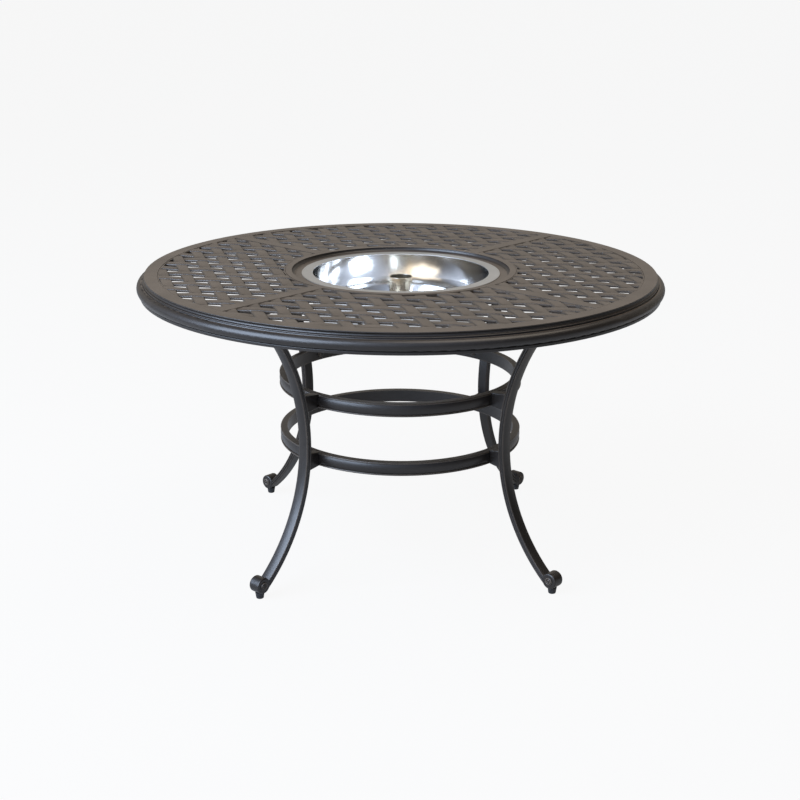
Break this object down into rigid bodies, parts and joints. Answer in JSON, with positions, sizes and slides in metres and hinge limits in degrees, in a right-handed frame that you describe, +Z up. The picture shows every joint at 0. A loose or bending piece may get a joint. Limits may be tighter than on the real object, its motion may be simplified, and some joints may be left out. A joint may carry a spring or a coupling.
{
  "type": "patio table",
  "caption": "Round cast patio dining table with a woven open top, a lift-out ice bucket round an umbrella sleeve, curved legs tied by stretcher rings, and levelling glides.",
  "frame": {"origin": "on the floor under the table's axis", "axes": "+Z up along the umbrella sleeve; the legs stand at 45 degrees to X and Y"},
  "size_m": [1.3199, 1.32, 0.737],
  "materials": {
    "cast_bronze": "satin antique-bronze powder coat on cast aluminium",
    "polished_steel": "polished stainless sheet",
    "brushed_steel": "brushed stainless flange and tube",
    "coated_bolt": "dark coated steel",
    "plain_bolt": "zinc-plated steel",
    "brass_insert": "turned brass",
    "nylon": "moulded black nylon"
  },
  "bodies": {
    "table": {"table_rim": "cast_bronze", "bucket_collar": "cast_bronze", "lattice_panel_1": "cast_bronze", "lattice_panel_2": "cast_bronze", "lattice_panel_3": "cast_bronze", "lattice_panel_4": "cast_bronze", "spoke_bar_1": "cast_bronze", "spoke_bar_2": "cast_bronze", "spoke_bar_3": "cast_bronze", "spoke_bar_4": "cast_bronze", "leg_1": "cast_bronze", "leg_2": "cast_bronze", "leg_3": "cast_bronze", "leg_4": "cast_bronze", "ring_upper": "cast_bronze", "ring_lower": "cast_bronze", "ring_upper_bolts": "coated_bolt", "ring_lower_bolts": "coated_bolt", "ring_washers": "coated_bolt", "leg_bolts": "plain_bolt", "leg_washers": "plain_bolt", "foot_inserts": "brass_insert"},
    "bucket": {"ice_bucket": "polished_steel", "bucket_wall": "polished_steel", "bucket_flange": "brushed_steel", "umbrella_sleeve": "brushed_steel"},
    "glide_1": {"glide_pad_1": "nylon", "glide_stud_1": "plain_bolt"},
    "glide_2": {"glide_pad_2": "nylon", "glide_stud_2": "plain_bolt"},
    "glide_3": {"glide_pad_3": "nylon", "glide_stud_3": "plain_bolt"},
    "glide_4": {"glide_pad_4": "nylon", "glide_stud_4": "plain_bolt"}
  },
  "joints": [
    {"name": "bucket_lift", "type": "slide", "parent": "table", "child": "bucket", "axis": [0, 0, 1], "range_m": [0, 0.25]},
    {"name": "glide_1_level", "type": "slide", "parent": "table", "child": "glide_1", "axis": [0, 0, 1], "range_m": [-0.008, 0]},
    {"name": "glide_2_level", "type": "slide", "parent": "table", "child": "glide_2", "axis": [0, 0, 1], "range_m": [-0.008, 0]},
    {"name": "glide_3_level", "type": "slide", "parent": "table", "child": "glide_3", "axis": [0, 0, 1], "range_m": [-0.008, 0]},
    {"name": "glide_4_level", "type": "slide", "parent": "table", "child": "glide_4", "axis": [0, 0, 1], "range_m": [-0.008, 0]}
  ]
}
